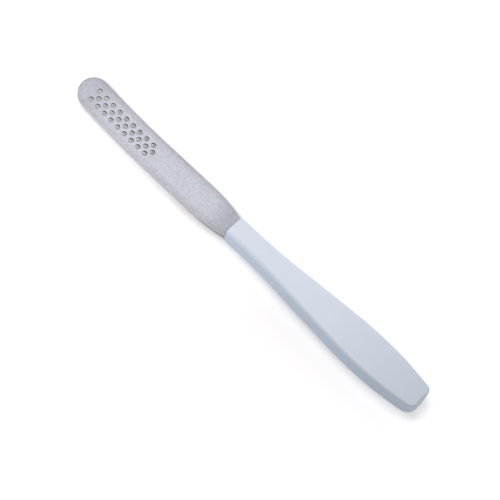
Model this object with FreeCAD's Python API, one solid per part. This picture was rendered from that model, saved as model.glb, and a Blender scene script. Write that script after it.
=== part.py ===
import FreeCAD, Part
import math
import os

# Foot file: a perforated steel blade with an upturned tip, grit bonded to both of its faces,
# and a plastic handle moulded round its tang.
# X runs from the tip to the butt, Y across the tool and Z up from the surface that the handle
# lies on. The origin is on that surface, under the middle of the length.

# Driving dimensions in millimetres, whole tool
overall_length = 240.0
handle_length = 132.0

# Handle
handle_thickness = 10.5
neck_width = 12.9
neck_length = 9.1
bulge_width = 22.2
bulge_from_butt = 37.8
butt_width = 14.4
butt_corner_length = 5.4
front_corner_radius = 2.4
side_edge_radius = 1.4

# Handle outline, as shares of the stretch that each belongs to
hollow_share = 0.194
crown_share = 0.109
taper_share = 0.42
front_edge_share = 0.85

# Blade
blade_width = 18.9
blade_tip_width = 18.4
tip_round_length = 8.0
shoulder_from_handle = 23.5
shoulder_radius = 97.0
blade_height = 5.8
core_thickness = 0.9
bend_length = 50.0
bend_radius = 218.0

# Tang in the handle
tang_width = 7.2
tang_length = 66.0
notch_length = 6.0
notch_depth = 1.4
notch_pitch = 20.0
notch_from_end = 12.0
notch_pairs = 2

# Perforations: lines along the blade, the middle one staggered by half a pitch
hole_diameter = 2.6
hole_pitch = 4.9
hole_line_spacing = 3.36
first_hole_from_tip = 9.45
holes_per_line = 9
stagger_share = 0.5

# Abrasive coats, set back from the edges and the perforations by a bare steel rim
coarse_coat_thickness = 0.18
fine_coat_thickness = 0.12
edge_rim = 0.25
hole_rim = 0.12
opening_sides = 12

# How far a cutting or trimming shape runs past what it cuts
overrun = 5.0

# Places along the tool
tip_x = -overall_length / 2
butt_x = overall_length / 2
front_x = butt_x - handle_length
bend_x = tip_x + bend_length
tang_end_x = front_x + tang_length

vec = FreeCAD.Vector


def line(start, end):
    return Part.LineSegment(start, end).toShape()


def arc(centre, radius, from_angle, to_angle):
    """Circular arc in the XY plane, with angles in degrees from +X."""
    points = []
    for angle in (from_angle, (from_angle + to_angle) / 2, to_angle):
        turn = math.radians(angle)
        points.append(centre + vec(math.cos(turn), math.sin(turn), 0) * radius)
    return Part.Arc(*points).toShape()


def conic(start, corner, end, fullness):
    """Rounding from start to end that leaves both along the lines to the corner."""
    bezier = Part.BezierCurve()
    bezier.setPoles([start, corner, end])
    bezier.setWeight(2, fullness)
    return bezier.toShape()


def mirrored(edges):
    """The same edges on the other side of the tool's middle plane."""
    return [edge.mirror(vec(0, 0, 0), vec(0, 1, 0)) for edge in edges]


def rounded_corner(before, corner, after, length):
    """Arc that rounds a corner between two straight runs, touching both at length from it."""
    to_before = (before - corner).normalize()
    to_after = (after - corner).normalize()
    half_angle = to_before.getAngle(to_after) / 2
    radius = length * math.tan(half_angle)
    inwards = (to_before + to_after).normalize()
    middle = corner + inwards * (length / math.cos(half_angle) - radius)
    return Part.Arc(corner + to_before * length, middle, corner + to_after * length).toShape()


def link(first, second):
    """The straight edge from the end of one edge to the start of another."""
    return line(first.lastVertex().Point, second.firstVertex().Point)


def handle_half_outline():
    """Edges of the handle's outline on the +Y side, from the front to the butt."""
    neck = neck_width / 2
    bulge = bulge_width / 2
    neck_end_x = front_x + neck_length
    bulge_x = butt_x - bulge_from_butt
    hollow_length = hollow_share * (bulge_x - neck_end_x)
    crown_length = crown_share * (bulge_x - neck_end_x)
    taper_length = taper_share * bulge_from_butt
    front_middle = vec(front_x, 0, 0)
    front_corner = vec(front_x, neck, 0)
    flank_start = vec(neck_end_x + hollow_length, neck, 0)
    flank_end = vec(bulge_x - crown_length, bulge, 0)
    taper_turn = vec(bulge_x + taper_length, bulge, 0)
    butt_corner = vec(butt_x, butt_width / 2, 0)
    butt_middle = vec(butt_x, 0, 0)
    front = rounded_corner(front_middle, front_corner, flank_start, front_corner_radius)
    hollow = rounded_corner(front_corner, flank_start, flank_end, hollow_length)
    crown = rounded_corner(flank_start, flank_end, taper_turn, crown_length)
    taper = rounded_corner(flank_end, taper_turn, butt_corner, taper_length)
    butt = rounded_corner(taper_turn, butt_corner, butt_middle, butt_corner_length)
    return [
        line(front_middle, front.firstVertex().Point),
        front,
        link(front, hollow),
        hollow,
        link(hollow, crown),
        crown,
        taper,
        link(taper, butt),
        butt,
        line(butt.lastVertex().Point, butt_middle),
    ]


def front_rims(half):
    """Top and bottom rims of the half handle's rounded front corner, its two foremost arcs."""
    arcs = [edge for edge in half.Edges if isinstance(edge.Curve, Part.Circle)]
    return sorted(arcs, key=lambda edge: edge.CenterOfMass.x)[:2]


def handle_body():
    """The solid handle, with edges that are rounder at the front than along its sides."""
    outline = handle_half_outline()
    outline.append(line(vec(butt_x, 0, 0), vec(front_x, 0, 0)))
    half = Part.Face(Part.Wire(outline)).extrude(vec(0, 0, handle_thickness))
    front_edge_radius = front_edge_share * front_corner_radius
    half = half.makeFillet(front_edge_radius, side_edge_radius, front_rims(half))
    return half.fuse(half.mirror(vec(0, 0, 0), vec(0, 1, 0))).removeSplitter()


def on_bend(turn, offset):
    """Point above the core's middle surface by offset, where the blade has turned up by turn."""
    radius = bend_radius - offset
    drop = radius * math.cos(turn)
    return vec(bend_x - radius * math.sin(turn), 0, blade_height + bend_radius - drop)


def bend(turn, offset):
    """The bent stretch of a surface at an offset, its arc written as a conic."""
    start = on_bend(0, offset)
    corner = start - vec((bend_radius - offset) * math.tan(turn / 2), 0, 0)
    return conic(start, corner, on_bend(turn, offset), math.cos(turn / 2))


def bent_strip(bottom, top):
    """A wide strip between two offsets from the core's middle surface, bent up at the tip."""
    turn = math.asin((bend_length + overrun) / bend_radius)
    lower_end = vec(tang_end_x + overrun, 0, blade_height + bottom)
    upper_end = vec(tang_end_x + overrun, 0, blade_height + top)
    profile = [
        line(lower_end, on_bend(0, bottom)),
        bend(turn, bottom),
        line(on_bend(turn, bottom), on_bend(turn, top)),
        bend(turn, top),
        line(on_bend(0, top), upper_end),
        line(upper_end, lower_end),
    ]
    half_width = blade_width / 2 + overrun
    strip = Part.Face(Part.Wire(Part.__sortEdges__(profile))).extrude(vec(0, 2 * half_width, 0))
    strip.translate(vec(0, -half_width, 0))
    return strip


def blade_half_outline(inset):
    """Edges of the blade's outline on the +Y side, from the tip to the end of the tang."""
    wide = blade_width / 2
    tip_half = blade_tip_width / 2 - inset
    tang_half = tang_width / 2 - inset
    round_x = tip_x + tip_round_length
    shoulder_x = front_x - shoulder_from_handle
    shoulder_centre = vec(shoulder_x, wide - shoulder_radius, 0)
    radius = shoulder_radius - inset
    tang_angle = math.degrees(math.asin((tang_half - shoulder_centre.y) / radius))
    tang_start = shoulder_centre + vec(
        radius * math.cos(math.radians(tang_angle)), tang_half - shoulder_centre.y, 0
    )
    tang_centre = vec(tang_end_x - tang_width / 2, 0, 0)
    quarter_circle = math.cos(math.radians(45))
    return [
        conic(
            vec(tip_x + inset, 0, 0), vec(tip_x + inset, tip_half, 0),
            vec(round_x, tip_half, 0), quarter_circle,
        ),
        line(vec(round_x, tip_half, 0), vec(shoulder_x, wide - inset, 0)),
        arc(shoulder_centre, radius, 90, tang_angle),
        line(tang_start, vec(tang_centre.x, tang_half, 0)),
        arc(tang_centre, tang_half, 90, 0),
    ]


def blade_plan(inset):
    """The blade's outline, tang included, as an upright prism."""
    half = blade_half_outline(inset)
    wire = Part.Wire(Part.__sortEdges__(half + mirrored(half)))
    base_z = -overrun
    height = blade_height + bend_radius
    plan = Part.Face(wire).extrude(vec(0, 0, height - base_z))
    plan.translate(vec(0, 0, base_z))
    return plan


def hole_places():
    """The middle of each perforation and the blade's upward normal there."""
    places = []
    for line_number in (-1, 0, 1):
        stagger = stagger_share if line_number == 0 else 0
        for column in range(holes_per_line):
            x = tip_x + first_hole_from_tip + hole_pitch * (column + stagger)
            turn = math.asin(max(bend_x - x, 0) / bend_radius)
            middle = on_bend(turn, 0)
            middle.x = x
            middle.y = hole_line_spacing * line_number
            places.append((middle, vec(math.sin(turn), 0, math.cos(turn))))
    return places


def perforations():
    """Round cutters square to the blade's surface, one for each perforation."""
    cutters = []
    for middle, normal in hole_places():
        base = middle - normal * overrun
        cutters.append(Part.makeCylinder(hole_diameter / 2, 2 * overrun, base, normal))
    return cutters


def coat_openings():
    """Cutters that keep a coat clear of the perforations, with flat sides so that they stay plain."""
    cutters = []
    across = vec(0, 1, 0)
    half_side = math.pi / opening_sides
    reach = (hole_diameter / 2 + hole_rim) / math.cos(half_side)
    for middle, normal in hole_places():
        along = normal.cross(across)
        points = []
        for side in range(opening_sides + 1):
            angle = half_side * (2 * side + 1)
            spoke = across * math.cos(angle) + along * math.sin(angle)
            points.append(middle - normal * overrun + spoke * reach)
        cutters.append(Part.Face(Part.makePolygon(points)).extrude(normal * (2 * overrun)))
    return cutters


def notch_cutters():
    """Cutters for the notches in the tang's sides that the handle's plastic locks into."""
    cutters = []
    for number in range(notch_pairs):
        x = tang_end_x - notch_from_end - notch_pitch * number
        for y in (tang_width / 2 - notch_depth, -tang_width / 2 - overrun):
            base = vec(x - notch_length / 2, y, blade_height - overrun)
            cutters.append(Part.makeBox(notch_length, notch_depth + overrun, 2 * overrun, base))
    return cutters


def blade_core():
    core = bent_strip(-core_thickness / 2, core_thickness / 2).common(blade_plan(0))
    return core.cut(perforations() + notch_cutters())


def abrasive_coat(bottom, top, body):
    """A grit layer between two offsets from the core's middle, ending at the handle."""
    coat = bent_strip(bottom, top).common(blade_plan(edge_rim))
    return coat.cut(coat_openings() + [body])


def main():
    body = handle_body()
    core = blade_core()
    half = core_thickness / 2
    nodes = {
        "blade_core": core,
        "coarse_abrasive_coat": abrasive_coat(half, half + coarse_coat_thickness, body),
        "fine_abrasive_coat": abrasive_coat(-half - fine_coat_thickness, -half, body),
        "handle": body.cut(core),
    }
    os.makedirs("parts", exist_ok=True)
    for name, shape in nodes.items():
        solid = shape.Solids[0] if len(shape.Solids) == 1 else shape
        print(name, solid.ShapeType, solid.isValid(), round(solid.Volume, 2), solid.BoundBox)
        solid.exportStep("parts/" + name + ".step")


main()
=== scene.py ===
import math
import random

import bmesh
import bpy
from mathutils import Matrix, Vector, geometry


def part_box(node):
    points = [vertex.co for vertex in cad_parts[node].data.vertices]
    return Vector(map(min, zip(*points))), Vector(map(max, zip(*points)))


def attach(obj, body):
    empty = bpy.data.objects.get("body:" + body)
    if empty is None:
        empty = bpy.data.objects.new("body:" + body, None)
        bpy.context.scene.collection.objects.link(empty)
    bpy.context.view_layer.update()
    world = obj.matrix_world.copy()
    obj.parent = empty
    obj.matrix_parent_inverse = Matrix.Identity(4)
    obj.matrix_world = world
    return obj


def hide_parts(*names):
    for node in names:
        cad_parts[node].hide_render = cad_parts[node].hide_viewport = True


# A foot file: a perforated blade with grit bonded to both faces, in a moulded plastic handle.
# Lengths are in metres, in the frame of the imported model: X from the tip to the butt, Z up.

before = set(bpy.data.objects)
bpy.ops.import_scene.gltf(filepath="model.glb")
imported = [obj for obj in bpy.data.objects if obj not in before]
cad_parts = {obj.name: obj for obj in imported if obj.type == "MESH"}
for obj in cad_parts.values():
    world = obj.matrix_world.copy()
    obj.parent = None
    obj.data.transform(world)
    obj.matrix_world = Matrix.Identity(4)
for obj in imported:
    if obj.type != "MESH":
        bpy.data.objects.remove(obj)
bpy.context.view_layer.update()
mm = 0.001

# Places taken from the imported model
handle_low, handle_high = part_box("handle")
core_low, core_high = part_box("blade_core")
front_x = handle_low.x
butt_x = handle_high.x
tip_x = core_low.x
handle_thickness = handle_high.z

# Handle outline
neck_half = 6.45 * mm
neck_length = 9.1 * mm
bulge_half = handle_high.y
bulge_from_butt = 37.8 * mm
butt_half = 7.2 * mm
butt_corner_length = 5.4 * mm
front_corner_length = 2.4 * mm
hollow_share = 0.194
crown_share = 0.109
taper_share = 0.42

# Handle edges: how round they are at places along the handle, crisper towards the butt
edge_rounding = [(0, 2.2 * mm), (12 * mm, 2.8 * mm), (65 * mm, 1.9 * mm), (132 * mm, 1.1 * mm)]
corner_flare = 0.9 * mm
edge_steps = 8
outline_step = 2.5 * mm
least_arc_steps = 10
columns_across = 10

# Blade
core_thickness = 0.9 * mm
blade_height = core_low.z + core_thickness / 2
bend_length = 50 * mm
bend_radius = 218 * mm
bend_x = tip_x + bend_length
blade_half = core_high.y
tip_half = 9.2 * mm
tip_round_length = 8 * mm
shoulder_x = front_x - 23.5 * mm
shoulder_radius = 97 * mm

# Steel's lightness on the faces; on the ground outer edge, painted lighter to lift the shade along it;
# and
# # on the perforations' cut walls and the narrow rings round them, painted dark as shade in the holes
bare_steel = 0.3
edge_painted_light = 0.6
hole_wall_painted_shade = 0.03
hole_ring_painted_shade = 0.08

# Perforations
hole_radius = 1.3 * mm
hole_pitch = 4.9 * mm
hole_line_spacing = 3.36 * mm
first_hole_x = tip_x + 9.45 * mm
holes_per_line = 9
points_per_hole = 28

# Grit coats
edge_rim = 0.25 * mm
hole_rim = 0.12 * mm
coat_end_x = front_x + 3 * mm
sunk = 0.03 * mm

# The grit is darker towards the margins, with painted shade towards the tip and the handle and on its cut
# walls
tip_fade = 30 * mm
tip_painted_shade = 0.84
handle_fade_start_x = front_x - 18 * mm
handle_fade_end_x = front_x - 3 * mm
handle_painted_shade = 0.76
margin_fade = 5 * mm
margin_tone = 0.82
grit_wall_painted_shade = 0.12


def node(tree, kind, **values):
    """A shader node with some inputs set, by name or as i0, i1, ...; a (node, output) tuple is linked."""
    made = tree.nodes.new(kind)
    for name, value in values.items():
        by_number = name[0] == "i" and name[1:].isdigit()
        socket = made.inputs[int(name[1:]) if by_number else name]
        if isinstance(value, tuple) and isinstance(value[0], bpy.types.Node):
            tree.links.new(value[0].outputs[value[1]], socket)
        else:
            socket.default_value = value
    return made


def new_material(name, **values):
    """A material, its node tree and its principled shader with some inputs set."""
    material = bpy.data.materials.new(name)
    material.use_nodes = True
    shader = material.node_tree.nodes["Principled BSDF"]
    for key, value in values.items():
        shader.inputs[key.replace("_", " ").title().replace("Ior", "IOR")].default_value = value
    return material, material.node_tree, shader


def ramp(tree, source, start, end, before, after):
    """A smooth change from one value to another over a range of the source."""
    made = node(tree, "ShaderNodeMapRange", Value=source)
    made.interpolation_type = "SMOOTHSTEP"
    for name, value in zip(("From Min", "From Max", "To Min", "To Max"), (start, end, before, after)):
        made.inputs[name].default_value = value
    return made


def plastic_material():
    """Satin cool-white plastic with a faint moulded texture."""
    material, tree, shader = new_material("cool_white_plastic", roughness=0.6,
                                          coat_weight=0.3, coat_roughness=0.4)
    place = node(tree, "ShaderNodeTexCoord")
    clouds = node(tree, "ShaderNodeTexNoise", Vector=(place, "Object"), Scale=55, Detail=3)
    tones = node(tree, "ShaderNodeValToRGB", Fac=(clouds, "Fac"))
    tones.color_ramp.elements[0].position = 0.3
    tones.color_ramp.elements[0].color = (0.605, 0.655, 0.745, 1)
    tones.color_ramp.elements[1].position = 0.7
    tones.color_ramp.elements[1].color = (0.625, 0.670, 0.760, 1)
    tree.links.new(tones.outputs["Color"], shader.inputs["Base Color"])
    stipple = node(tree, "ShaderNodeTexNoise", Vector=(place, "Object"), Scale=2600, Detail=2)
    bump = node(tree, "ShaderNodeBump", Height=(stipple, "Fac"), Strength=0.12, Distance=0.00003)
    tree.links.new(bump.outputs["Normal"], shader.inputs["Normal"])
    return material


def grit_material(name, dark, light, grain_scale):
    """Grey bonded grit: grains that differ in tone and gloss, over soft patches."""
    material, tree, shader = new_material(name, metallic=0.55)
    place = node(tree, "ShaderNodeTexCoord")
    grains = node(tree, "ShaderNodeTexVoronoi", Vector=(place, "Object"), Scale=grain_scale)
    patches = node(tree, "ShaderNodeTexNoise", Vector=(place, "Object"), Scale=700, Detail=4)
    blend = node(tree, "ShaderNodeMix", Factor=0.5)
    blend.data_type = "FLOAT"
    tree.links.new(grains.outputs["Color"], blend.inputs[2])
    tree.links.new(patches.outputs["Fac"], blend.inputs[3])
    tones = node(tree, "ShaderNodeValToRGB", Fac=(blend, 0))
    tones.color_ramp.elements[0].position = 0.25
    tones.color_ramp.elements[0].color = (*dark, 1)
    tones.color_ramp.elements[1].position = 0.75
    tones.color_ramp.elements[1].color = (*light, 1)
    parts = node(tree, "ShaderNodeSeparateXYZ", Vector=(place, "Object"))
    across = node(tree, "ShaderNodeMath", i0=(parts, "Y"))
    across.operation = "ABSOLUTE"
    # Painted shade darkens the grit towards the tip and towards the handle; it is also darker towards the
    # margins
    by_tip = ramp(tree, (parts, "X"), tip_x, tip_x + tip_fade, tip_painted_shade, 1)
    by_handle = ramp(tree, (parts, "X"), handle_fade_start_x, handle_fade_end_x, 1, handle_painted_shade)
    by_margin = ramp(tree, (across, 0), blade_half - margin_fade, blade_half, 1, margin_tone)
    along = node(tree, "ShaderNodeMath", i0=(by_tip, "Result"), i1=(by_handle, "Result"))
    along.operation = "MULTIPLY"
    on_top = node(tree, "ShaderNodeMath", i0=(along, 0), i1=(by_margin, "Result"))
    on_top.operation = "MULTIPLY"
    facing = node(tree, "ShaderNodeSeparateXYZ", Vector=(place, "Normal"))
    upright = node(tree, "ShaderNodeMath", i0=(facing, "Z"))
    upright.operation = "ABSOLUTE"
    # Painted shade: steep facets, the coat's cut walls, are darker
    by_slope = ramp(tree, (upright, 0), 0.2, 0.6, grit_wall_painted_shade, 1)
    tone = node(tree, "ShaderNodeMath", i0=(on_top, 0), i1=(by_slope, "Result"))
    tone.operation = "MULTIPLY"
    shaded = node(tree, "ShaderNodeVectorMath", i0=(tones, "Color"), i3=(tone, 0))
    shaded.operation = "SCALE"
    tree.links.new(shaded.outputs["Vector"], shader.inputs["Base Color"])
    gloss = node(tree, "ShaderNodeMapRange", Value=(grains, "Distance"))
    gloss.inputs["From Max"].default_value = 1
    gloss.inputs["To Min"].default_value = 0.5
    gloss.inputs["To Max"].default_value = 0.7
    tree.links.new(gloss.outputs["Result"], shader.inputs["Roughness"])
    bump = node(tree, "ShaderNodeBump", Height=(grains, "Distance"), Strength=0.35, Distance=0.00008)
    tree.links.new(bump.outputs["Normal"], shader.inputs["Normal"])
    return material


def steel_material():
    """Bare satin steel with fine marks along the blade; painted shade in the holes, painted light on its
    edge.
    """
    material, tree, shader = new_material("satin_steel", metallic=1.0)
    place = node(tree, "ShaderNodeTexCoord")
    parts = node(tree, "ShaderNodeSeparateXYZ", Vector=(place, "Normal"))
    facing = node(tree, "ShaderNodeMath", i0=(parts, "Z"))
    facing.operation = "ABSOLUTE"
    spot = node(tree, "ShaderNodeSeparateXYZ", Vector=(place, "Object"))
    across = node(tree, "ShaderNodeMath", i0=(spot, "Y"))
    across.operation = "ABSOLUTE"
    outermost = hole_line_spacing + hole_radius
    # Painted shade on the perforations' cut walls, painted light on the blade's outer edge
    wall = ramp(tree, (across, 0), outermost, outermost + hole_radius, hole_wall_painted_shade, edge_painted_light)
    # Painted shade on the narrow rings round the perforations
    face = ramp(tree, (across, 0), outermost, outermost + hole_radius, hole_ring_painted_shade, bare_steel)
    level = ramp(tree, (facing, 0), 0.3, 0.8, hole_wall_painted_shade, bare_steel)
    tree.links.new(wall.outputs["Result"], level.inputs["To Min"])
    tree.links.new(face.outputs["Result"], level.inputs["To Max"])
    tint = node(tree, "ShaderNodeVectorMath", i0=(1, 1, 1.06), i3=(level, "Result"))
    tint.operation = "SCALE"
    tree.links.new(tint.outputs["Vector"], shader.inputs["Base Color"])
    stretch = node(tree, "ShaderNodeMapping", Vector=(place, "Object"), Scale=(150, 2500, 2500))
    marks = node(tree, "ShaderNodeTexNoise", Vector=(stretch, "Vector"), Scale=1, Detail=3)
    tones = node(tree, "ShaderNodeMapRange", Value=(marks, "Fac"))
    tones.inputs["To Min"].default_value = 0.32
    tones.inputs["To Max"].default_value = 0.5
    tree.links.new(tones.outputs["Result"], shader.inputs["Roughness"])
    bump = node(tree, "ShaderNodeBump", Height=(marks, "Fac"), Strength=0.15, Distance=0.00003)
    tree.links.new(bump.outputs["Normal"], shader.inputs["Normal"])
    return material


def make_piece(name, vertices, faces, material, cad_node, smooth):
    """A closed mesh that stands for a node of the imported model."""
    mesh = bpy.data.meshes.new(name)
    mesh.from_pydata(vertices, [], faces)
    shaped = bmesh.new()
    shaped.from_mesh(mesh)
    bmesh.ops.recalc_face_normals(shaped, faces=shaped.faces)
    shaped.to_mesh(mesh)
    shaped.free()
    mesh.polygons.foreach_set("use_smooth", [smooth] * len(mesh.polygons))
    mesh.materials.append(material)
    piece = bpy.data.objects.new(name, mesh)
    bpy.context.scene.collection.objects.link(piece)
    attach(piece, "root")
    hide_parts(cad_node)
    return piece


def left_of(direction):
    return Vector((-direction.y, direction.x))


def straight_run(start, end):
    """Points with normals along a straight run, without its end."""
    count = max(1, round((end - start).length / outline_step))
    normal = left_of((end - start).normalized())
    return [(start.lerp(end, step / count), normal) for step in range(count)]


def rounded_path(start, corners, end):
    """Points with normals on the left from start to end, with an arc at each (corner, length)."""
    path = []
    here = start
    stops = [start] + [corner for corner, length in corners] + [end]
    for before, (corner, length), after in zip(stops, corners, stops[2:]):
        to_before = (before - corner).normalized()
        to_after = (after - corner).normalized()
        half_angle = to_before.angle(to_after) / 2
        radius = length * math.tan(half_angle)
        centre = corner + (to_before + to_after).normalized() * (length / math.cos(half_angle))
        side = 1 if to_before.cross(to_after) < 0 else -1
        sweep = math.pi - 2 * half_angle
        count = max(least_arc_steps, round(radius * sweep / outline_step))
        arc_start = corner + to_before * length
        if (arc_start - here).length > outline_step / 100:
            path += straight_run(here, arc_start)
        for step in range(count):
            turn = Matrix.Rotation(side * sweep * step / count, 2)
            spoke = turn @ (arc_start - centre)
            path.append((centre + spoke, -side * spoke.normalized()))
        here = corner + to_after * length
    path += straight_run(here, end)
    path.append((end, path[-1][1]))
    return path


def handle_flank():
    """Points with normals along the handle's +Y side, from the front's flat to the butt's."""
    neck_end_x = front_x + neck_length
    bulge_x = butt_x - bulge_from_butt
    hollow_length = hollow_share * (bulge_x - neck_end_x)
    crown_length = crown_share * (bulge_x - neck_end_x)
    taper_length = taper_share * bulge_from_butt
    corners = [
        (Vector((front_x, neck_half)), front_corner_length),
        (Vector((neck_end_x + hollow_length, neck_half)), hollow_length),
        (Vector((bulge_x - crown_length, bulge_half)), crown_length),
        (Vector((bulge_x + taper_length, bulge_half)), taper_length),
        (Vector((butt_x, butt_half)), butt_corner_length),
    ]
    path = rounded_path(Vector((front_x, 0)), corners, Vector((butt_x, 0)))
    flat_end_y = neck_half - front_corner_length * 1.01
    first = next(i for i, (point, normal) in enumerate(path) if point.y > flat_end_y)
    last = max(i for i, (point, normal) in enumerate(path)
               if normal.x < 0.999 or point.x < butt_x - outline_step)
    return path[first:last + 2]


def edge_radius(x):
    """How round the handle's edges are at a place along it."""
    run = min(max(x - front_x, 0), edge_rounding[-1][0])
    for (start, before), (end, after) in zip(edge_rounding, edge_rounding[1:]):
        if run <= end:
            share = (run - start) / (end - start)
            return before + (after - before) * share * share * (3 - 2 * share)


def flared(point, normal, height):
    """A place on the handle's outline, moved so that the butt's corners are crisper at the top."""
    corner = (2 * max(normal.x, 0) * abs(normal.y)) ** 2
    return point + normal * corner * corner_flare * height / handle_thickness


def handle_rings():
    """Rings of points up the handle's wall, each from the underside's flat to the top's."""
    flank = handle_flank()
    across = [step / columns_across for step in range(columns_across + 1)]
    front_y = flank[0][0].y
    butt_y = flank[-1][0].y
    loop = [(Vector((front_x, front_y * (2 * share - 1))), Vector((-1, 0))) for share in across]
    loop += flank[1:]
    loop += [(Vector((butt_x, butt_y * (1 - 2 * share))), Vector((1, 0))) for share in across[1:]]
    mirror = Vector((1, -1))
    loop += [(point * mirror, normal * mirror) for point, normal in reversed(flank[1:-1])]
    quarter = [math.pi / 2 * step / edge_steps for step in range(edge_steps + 1)]
    turns = [(1 - math.sin(angle), 1 - math.cos(angle), 0) for angle in quarter]
    turns += [(1 - math.cos(angle), math.sin(angle) - 1, handle_thickness) for angle in quarter]
    rings = []
    for inward, upward, level in turns:
        ring = []
        for point, normal in loop:
            radius = edge_radius(point.x)
            height = level + upward * radius
            ring.append((*(flared(point, normal, height) - normal * radius * inward), height))
        rings.append(ring)
    return rings, len(flank) - 1


def handle_piece():
    """The handle: rings up its wall, closed by a grid of faces below and above."""
    rings, rows = handle_rings()
    size = len(rings[0])
    vertices = [point for ring in rings for point in ring]
    faces = []
    for ring in range(len(rings) - 1):
        for step in range(size):
            after = (step + 1) % size
            faces.append((ring * size + step, ring * size + after,
                          (ring + 1) * size + after, (ring + 1) * size + step))
    for base in (0, (len(rings) - 1) * size):
        grid = []
        for row in range(rows + 1):
            left = base + (size - row) % size
            right = base + columns_across + row
            if row == 0:
                line = list(range(base, base + columns_across + 1))
            elif row == rows:
                line = [right + columns_across - column for column in range(columns_across + 1)]
            else:
                line = [left]
                for column in range(1, columns_across):
                    share = column / columns_across
                    line.append(len(vertices))
                    vertices.append(tuple(Vector(vertices[left]).lerp(Vector(vertices[right]), share)))
                line.append(right)
            grid.append(line)
        for near, far in zip(grid, grid[1:]):
            for column in range(columns_across):
                faces.append((near[column], near[column + 1], far[column + 1], far[column]))
    piece = make_piece("handle_moulding", vertices, faces, plastic_material(),
                       "handle", True)
    weighted = piece.modifiers.new("weighted_normals", "WEIGHTED_NORMAL")
    weighted.keep_sharp = True
    return piece


def bend_height(x, offset):
    """Height of the surface at an offset above the core's middle, over a place along the blade."""
    run = max(bend_x - x, 0)
    return blade_height + bend_radius - math.sqrt((bend_radius - offset) ** 2 - run ** 2)


def blade_half_width(x, inset):
    """Half the blade's width at a place along it, less an inset."""
    round_x = tip_x + tip_round_length
    if x < round_x:
        share = (round_x - x) / (tip_round_length - inset)
        return (tip_half - inset) * math.sqrt(max(1 - share ** 2, 0))
    if x < shoulder_x:
        share = (x - round_x) / (shoulder_x - round_x)
        return tip_half + (blade_half - tip_half) * share - inset
    radius = shoulder_radius - inset
    return blade_half - shoulder_radius + math.sqrt(radius ** 2 - (x - shoulder_x) ** 2)


def coat_outline(step):
    """The coat's outline in plan, from its end in the handle round the tip and back."""
    round_x = tip_x + tip_round_length
    arc_count = round(tip_round_length * math.pi / 2 / step)
    places = []
    for count in range(arc_count):
        turn = math.pi / 2 * count / arc_count
        places.append(round_x - (tip_round_length - edge_rim) * math.cos(turn))
    run_count = round((coat_end_x - round_x) / step)
    places += [round_x + (coat_end_x - round_x) * count / run_count for count in range(run_count + 1)]
    upper = [Vector((x, blade_half_width(x, edge_rim))) for x in places]
    lower = [Vector((point.x, -point.y)) for point in upper[:0:-1]]
    return upper + lower


def hole_places():
    """Where each perforation is, with the cosine of the blade's slope there."""
    places = []
    for line in (-1, 0, 1):
        stagger = 0.5 if line == 0 else 0
        for column in range(holes_per_line):
            x = first_hole_x + hole_pitch * (column + stagger)
            slope = math.asin(max(bend_x - x, 0) / bend_radius)
            places.append((Vector((x, hole_line_spacing * line)), math.cos(slope)))
    return places


def opening(centre, squeeze):
    """The coat's edge round one perforation."""
    points = []
    for count in range(points_per_hole):
        turn = 2 * math.pi * count / points_per_hole
        reach = hole_radius + hole_rim
        points.append(centre + Vector((reach * math.cos(turn) * squeeze, reach * math.sin(turn))))
    return points


def edge_distance(point):
    """How far a place on the coat is from its nearest edge, roughly."""
    nearest = blade_half_width(point.x, edge_rim) - abs(point.y)
    nearest = min(nearest, point.x - tip_x - edge_rim)
    for centre, squeeze in hole_places():
        nearest = min(nearest, (point - centre).length - hole_radius - hole_rim)
    return nearest


def scattered_points(spacing, dice):
    """Uneven places all over the coat, clear of its edges."""
    points = []
    row_height = spacing * math.sqrt(3) / 2
    for row in range(round(2 * blade_half / row_height)):
        y = -blade_half + row * row_height
        for column in range(round((coat_end_x - tip_x) / spacing)):
            x = tip_x + (column + row % 2 / 2) * spacing
            point = Vector((x + dice.uniform(-0.35, 0.35) * spacing,
                            y + dice.uniform(-0.35, 0.35) * spacing))
            if point.x < coat_end_x - spacing / 2 and edge_distance(point) > spacing / 2:
                points.append(point)
    return points


def coat_piece(name, material, cad_node, side, thickness, spacing, seed):
    """A grit layer with real grains: uneven points at uneven heights, joined into small facets."""
    dice = random.Random(seed)
    loops = [coat_outline(spacing)] + [opening(*place) for place in hole_places()]
    base = side * (core_thickness / 2 - sunk)
    top = side * (core_thickness / 2 + thickness)
    edge = side * (core_thickness / 2 + 0.35 * thickness)
    flat = [point for loop in loops for point in loop]
    links = []
    start = 0
    for loop in loops:
        links += [(start + i, start + (i + 1) % len(loop)) for i in range(len(loop))]
        start += len(loop)
    owner = [number for number, loop in enumerate(loops) for point in loop]

    def fills_hole(face, sources):
        owners = {owner[i] if i < len(owner) else None for i in (sources[v][0] for v in face)}
        return len(owners) == 1 and owners.pop()

    grains = scattered_points(spacing, dice)
    heights = [edge] * len(flat)
    for point in grains:
        rise = min(edge_distance(point) / (0.6 * mm), 1)
        level = edge + (top - edge) * math.sin(rise * math.pi / 2)
        heights.append(level + side * thickness * 0.4 * dice.uniform(-1, 1) * rise)
    inside = 1
    found = geometry.delaunay_2d_cdt(flat + grains, links, [], inside, 1e-9)
    back = {}
    vertices = []
    for index, (point, sources) in enumerate(zip(found[0], found[3])):
        back[sources[0]] = index
        vertices.append((point.x, point.y, bend_height(point.x, heights[sources[0]])))
    faces = [tuple(face) for face in found[2] if not fills_hole(face, found[3])]
    lower = len(vertices)
    vertices += [(point.x, point.y, bend_height(point.x, base)) for point in flat]
    for first, second in links:
        faces.append((lower + first, lower + second, back[second], back[first]))
    under = geometry.delaunay_2d_cdt(flat, links, [], inside, 1e-9)
    for face in under[2]:
        if not fills_hole(face, under[3]):
            faces.append(tuple(lower + under[3][index][0] for index in face))
    return make_piece(name, vertices, faces, material, cad_node, False)


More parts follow.
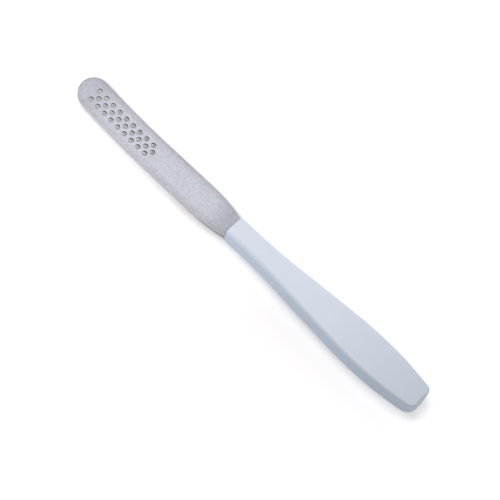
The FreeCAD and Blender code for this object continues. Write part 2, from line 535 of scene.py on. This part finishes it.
def light_path_factor(tree):
    """1 for rays from the camera and from mirror-like or clear surfaces, 0 for light on the object."""
    path = node(tree, "ShaderNodeLightPath")
    either = node(tree, "ShaderNodeMath", i0=(path, "Is Camera Ray"), i1=(path, "Is Glossy Ray"))
    either.operation = "MAXIMUM"
    any_of = node(tree, "ShaderNodeMath", i0=(either, 0), i1=(path, "Is Transmission Ray"))
    any_of.operation = "MAXIMUM"
    return any_of


# Light: a soft lamp on the near side over the blade, one almost straight above the handle, a wide low one
# behind the handle and an even white surround. A lamp's level is the light that it gives the floor at its
# centre, where 1 is plain light.
lamps = {
    "near_lamp": {"centre": Vector((-0.085, 0, 0)), "azimuth": -24, "elevation": 65,
                  "distance": 0.15, "size": 0.03, "level": 0.50},
    "far_lamp": {"centre": Vector((0.04, 0, 0)), "azimuth": 180, "elevation": 82,
                 "distance": 0.17, "size": 0.1, "level": 0.325},
    "rim_lamp": {"centre": Vector((0.07, 0, 0)), "azimuth": 180, "elevation": 20,
                 "distance": 0.4, "size": 0.3, "level": 0.08},
}
surround_level = 0.44

# The floor renders white where nothing shades it, and throws cool light back on the object
floor_colour = 1.1
floor_warmth = 0.98
white_level = 1.12
bounce_colour = (0.80, 0.90, 1.0, 1)


def view_axes(azimuth, elevation):
    """Right, up and back of a camera that stands at an azimuth and elevation."""
    a = math.radians(azimuth)
    e = math.radians(elevation)
    back = Vector((math.sin(a) * math.cos(e), -math.cos(a) * math.cos(e), math.sin(e)))
    right = Vector((math.cos(a), math.sin(a), 0))
    return right, back.cross(right), back


def oriented(right, up, back, location):
    """Matrix of a camera or lamp that looks against back."""
    turn = Matrix((right, up, back)).transposed()
    return Matrix.Translation(location) @ turn.to_4x4()


def make_lamp(name, centre, azimuth, elevation, distance, size, level):
    """A round soft lamp that faces a centre on the floor."""
    right, up, back = view_axes(azimuth, elevation)
    data = bpy.data.lights.new(name, "AREA")
    data.shape = "DISK"
    data.size = size
    data.energy = level * math.pi * math.pi * distance ** 2 / math.sin(math.radians(elevation))
    lamp = bpy.data.objects.new(name, data)
    bpy.context.scene.collection.objects.link(lamp)
    lamp.matrix_world = oriented(right, up, back, centre + back * distance)
    lamp.visible_camera = False


def make_surround():
    """Even white light from every side, which looks plain white itself."""
    world = bpy.data.worlds.new("surround")
    world.use_nodes = True
    bpy.context.scene.world = world
    tree = world.node_tree
    strength = node(tree, "ShaderNodeMapRange", Value=(light_path_factor(tree), 0))
    strength.inputs["To Min"].default_value = surround_level
    strength.inputs["To Max"].default_value = 1
    background = tree.nodes["Background"]
    background.inputs["Color"].default_value = (1, 1, 1, 1)
    tree.links.new(strength.outputs["Result"], background.inputs["Strength"])


def make_floor():
    """A flat white floor that keeps the shadow and is topped up where the lamps' light falls off."""
    far = 1.5
    corners = [(-far, -far, 0), (far, -far, 0), (far, far, 0), (-far, far, 0)]
    mesh = bpy.data.meshes.new("floor")
    mesh.from_pydata(corners, [], [(0, 1, 2, 3)])
    floor = bpy.data.objects.new("floor", mesh)
    bpy.context.scene.collection.objects.link(floor)
    material = bpy.data.materials.new("white_floor")
    material.use_nodes = True
    tree = material.node_tree
    tree.nodes.remove(tree.nodes["Principled BSDF"])
    seen = light_path_factor(tree)
    bright = (floor_colour, floor_colour * floor_warmth, floor_colour * floor_warmth, 1)
    colour = node(tree, "ShaderNodeMix", i0=(seen, 0), i6=bounce_colour, i7=bright)
    colour.data_type = "RGBA"
    diffuse = node(tree, "ShaderNodeBsdfDiffuse", Color=(colour, 2))
    place = node(tree, "ShaderNodeTexCoord")
    lit = node(tree, "ShaderNodeValue")
    lit.outputs[0].default_value = surround_level
    for lamp in lamps.values():
        away = node(tree, "ShaderNodeVectorMath", i0=(place, "Object"), i1=lamp["centre"])
        away.operation = "DISTANCE"
        ratio = node(tree, "ShaderNodeMath", i0=(away, "Value"), i1=lamp["distance"])
        ratio.operation = "DIVIDE"
        square = node(tree, "ShaderNodeMath", i0=(ratio, 0), i1=2)
        square.operation = "POWER"
        plus = node(tree, "ShaderNodeMath", i0=(square, 0), i1=1)
        falloff = node(tree, "ShaderNodeMath", i0=(plus, 0), i1=-2)
        falloff.operation = "POWER"
        lit = node(tree, "ShaderNodeMath", i0=(falloff, 0), i1=lamp["level"], i2=(lit, 0))
        lit.operation = "MULTIPLY_ADD"
    lack = node(tree, "ShaderNodeMath", i0=(lit, 0), i1=-floor_colour, i2=white_level)
    lack.operation = "MULTIPLY_ADD"
    top_up = node(tree, "ShaderNodeMath", i0=(lack, 0), i1=(seen, 0))
    top_up.operation = "MULTIPLY"
    top_up.use_clamp = True
    glow = node(tree, "ShaderNodeEmission", Strength=(top_up, 0))
    both = node(tree, "ShaderNodeAddShader", i0=(diffuse, 0), i1=(glow, 0))
    tree.links.new(both.outputs[0], tree.nodes["Material Output"].inputs["Surface"])
    mesh.materials.append(material)


# Camera, fitted to the photograph
camera_azimuth = 21.34
camera_elevation = 63.57
camera_roll = 23.71
camera_distance = 1.5
picture_width = 500
pixels_per_metre = 1950
origin_pixel = Vector((246.98, 247.41))


def make_camera():
    """A camera with the photograph's angle, roll, scale and framing."""
    right, up, back = view_axes(camera_azimuth, camera_elevation)
    roll = math.radians(camera_roll)
    picture_right = right * math.cos(roll) + up * math.sin(roll)
    picture_up = up * math.cos(roll) - right * math.sin(roll)
    data = bpy.data.cameras.new("camera")
    data.sensor_width = 36
    data.lens = data.sensor_width * pixels_per_metre * camera_distance / picture_width
    data.clip_start = 0.01
    data.clip_end = 20
    camera = bpy.data.objects.new("camera", data)
    bpy.context.scene.collection.objects.link(camera)
    offset = (Vector((picture_width, picture_width)) / 2 - origin_pixel) / pixels_per_metre
    target = picture_right * offset.x - picture_up * offset.y
    camera.matrix_world = oriented(picture_right, picture_up, back, target + back * camera_distance)
    bpy.context.scene.camera = camera


coarse_grit = grit_material("coarse_grit", (0.40, 0.405, 0.455), (0.53, 0.535, 0.59), 2200)
fine_grit = grit_material("fine_grit", (0.40, 0.405, 0.44), (0.50, 0.505, 0.55), 3600)
handle_piece()
coat_piece("coarse_grit_layer", coarse_grit, "coarse_abrasive_coat",
           side=1, thickness=0.18 * mm, spacing=0.42 * mm, seed=1)
coat_piece("fine_grit_layer", fine_grit, "fine_abrasive_coat",
           side=-1, thickness=0.12 * mm, spacing=0.34 * mm, seed=2)
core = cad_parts["blade_core"]
core.data.materials.clear()
core.data.materials.append(steel_material())
for name, lamp in lamps.items():
    make_lamp(name, **lamp)
make_surround()
make_floor()
make_camera()
bpy.context.scene.view_settings.view_transform = "Standard"
